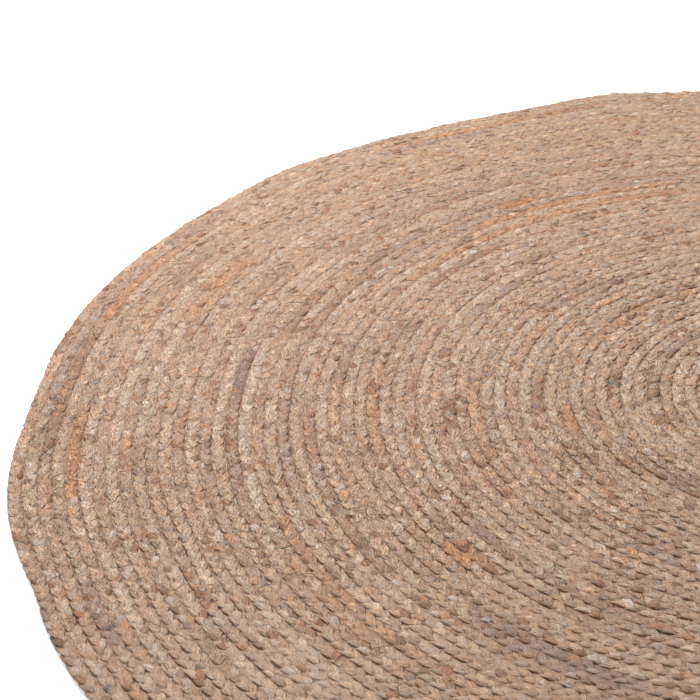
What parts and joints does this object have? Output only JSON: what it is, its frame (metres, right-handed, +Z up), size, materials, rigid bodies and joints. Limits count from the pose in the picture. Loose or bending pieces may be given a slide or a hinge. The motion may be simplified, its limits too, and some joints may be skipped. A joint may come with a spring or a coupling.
{
  "type": "round braided jute rug",
  "caption": "Flat round rug of jute braid, wound out from the middle in a coil and sewn row to row, with a ribbed top and a flat underside.",
  "frame": {"origin": "the middle of the coil, on the flat underside", "axes": "+Z up out of the ribbed top, through the rug's thickness; X and Y lie in the floor plane; angles run counter-clockwise from +X seen from above"},
  "size_m": [1.5027, 1.4978, 0.008],
  "materials": {
    "jute_braid": "undyed jute braid, matt, warm tan with paler straw, pinkish and grey-mauve rows"
  },
  "bodies": {
    "root": {"braided_rug": "jute_braid"}
  },
  "joints": []
}
